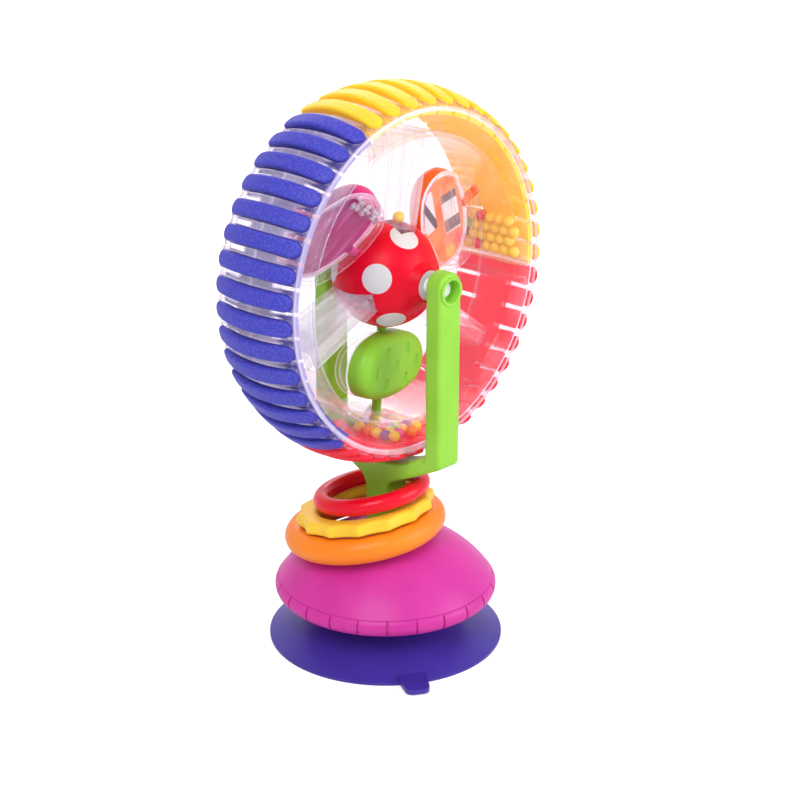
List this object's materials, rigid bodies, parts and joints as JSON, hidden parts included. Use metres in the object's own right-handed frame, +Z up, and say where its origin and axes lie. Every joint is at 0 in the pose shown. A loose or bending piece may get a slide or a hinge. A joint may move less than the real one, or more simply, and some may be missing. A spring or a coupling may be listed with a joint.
{
  "type": "suction cup spinner toy",
  "caption": "Clear rattle wheel with coloured rib treads and three spinning capsules, held in a fork with loose rings on a domed suction cup base.",
  "frame": {"origin": "centre of the suction cup's lip, on the surface it stands on", "axes": "+Z up, +Y along the wheel's axle, towards the rear arm; +X completes a right-handed frame"},
  "size_m": [0.1172, 0.0767, 0.18],
  "materials": {
    "blue_rubber_ribs": "satin, fine grain",
    "red_rubber_ribs": "satin, fine grain",
    "yellow_rubber_ribs": "satin, fine grain",
    "clear_shell": "clear, glossy",
    "hub_red": "glossy, white dots",
    "axle_white": "satin",
    "capsule_green": "satin",
    "capsule_clear": "clear, glossy",
    "capsule_orange": "translucent, glossy",
    "striped_card": "printed black and white diagonal stripes",
    "capsule_pink": "translucent, glossy",
    "foil_card": "creased foil",
    "fork_green": "satin",
    "ring_orange": "satin",
    "ring_yellow": "satin",
    "ring_red": "glossy",
    "base_magenta": "satin",
    "screw_steel": "plated",
    "cup_violet": "smooth, slightly glossy",
    "bead_yellow": "glossy",
    "bead_orange": "glossy",
    "bead_red": "glossy",
    "bead_pink": "glossy",
    "bead_green": "glossy",
    "bead_purple": "glossy"
  },
  "bodies": {
    "base": {"suction_cup": "cup_violet", "base_skirt": "base_magenta", "base_dome": "base_magenta", "base_screws": "screw_steel", "neck_washer": "screw_steel", "neck_screw": "screw_steel", "fork": "fork_green"},
    "wheel": {"wheel_shell_front": "clear_shell", "wheel_shell_rear": "clear_shell", "tread_blue": "blue_rubber_ribs", "tread_red": "red_rubber_ribs", "tread_yellow": "yellow_rubber_ribs", "hub_ball_front": "hub_red", "hub_ball_rear": "hub_red", "axle": "axle_white", "beads_yellow": "bead_yellow", "beads_orange": "bead_orange", "beads_red": "bead_red", "beads_pink": "bead_pink", "beads_green": "bead_green", "beads_purple": "bead_purple"},
    "spinner_orange": {"orange_capsule_shell": "capsule_orange", "orange_capsule_lens": "capsule_clear", "orange_striped_card": "striped_card"},
    "spinner_pink": {"pink_capsule_shell": "capsule_pink", "pink_capsule_lens": "capsule_clear", "pink_foil_card": "foil_card"},
    "spinner_green": {"green_capsule_shell": "capsule_green", "green_capsule_lens": "capsule_clear"},
    "loose_ring_orange": {"ring_orange": "ring_orange"},
    "loose_ring_yellow": {"ring_yellow": "ring_yellow"},
    "loose_ring_red": {"ring_red": "ring_red"}
  },
  "joints": [
    {"name": "wheel_spin", "type": "hinge", "parent": "base", "child": "wheel", "pos_m": [0, 0, 0.1214], "axis": [0, 1, 0], "continuous": true},
    {"name": "spinner_orange_spin", "type": "hinge", "parent": "wheel", "child": "spinner_orange", "pos_m": [0.02584, 0, 0.13318], "axis": [0.91, 0, 0.4147], "continuous": true},
    {"name": "spinner_pink_spin", "type": "hinge", "parent": "wheel", "child": "spinner_pink", "pos_m": [-0.02312, 0, 0.13789], "axis": [-0.8141, 0, 0.5807], "continuous": true},
    {"name": "spinner_green_spin", "type": "hinge", "parent": "wheel", "child": "spinner_green", "pos_m": [-0.00272, 0, 0.09313], "axis": [-0.0958, 0, -0.9954], "continuous": true},
    {"name": "ring_orange_spin", "type": "hinge", "parent": "base", "child": "loose_ring_orange", "pos_m": [-0.0045, 0.0047, 0.0376], "axis": [-0.0739, 0.1508, 0.9858], "continuous": true},
    {"name": "ring_yellow_spin", "type": "hinge", "parent": "base", "child": "loose_ring_yellow", "pos_m": [-0.006, 0.0031, 0.04455], "axis": [-0.0668, 0.1749, 0.9823], "continuous": true},
    {"name": "ring_red_spin", "type": "hinge", "parent": "base", "child": "loose_ring_red", "pos_m": [-0.0048, 0.0015, 0.0506], "axis": [-0.0586, 0.2052, 0.977], "continuous": true}
  ]
}
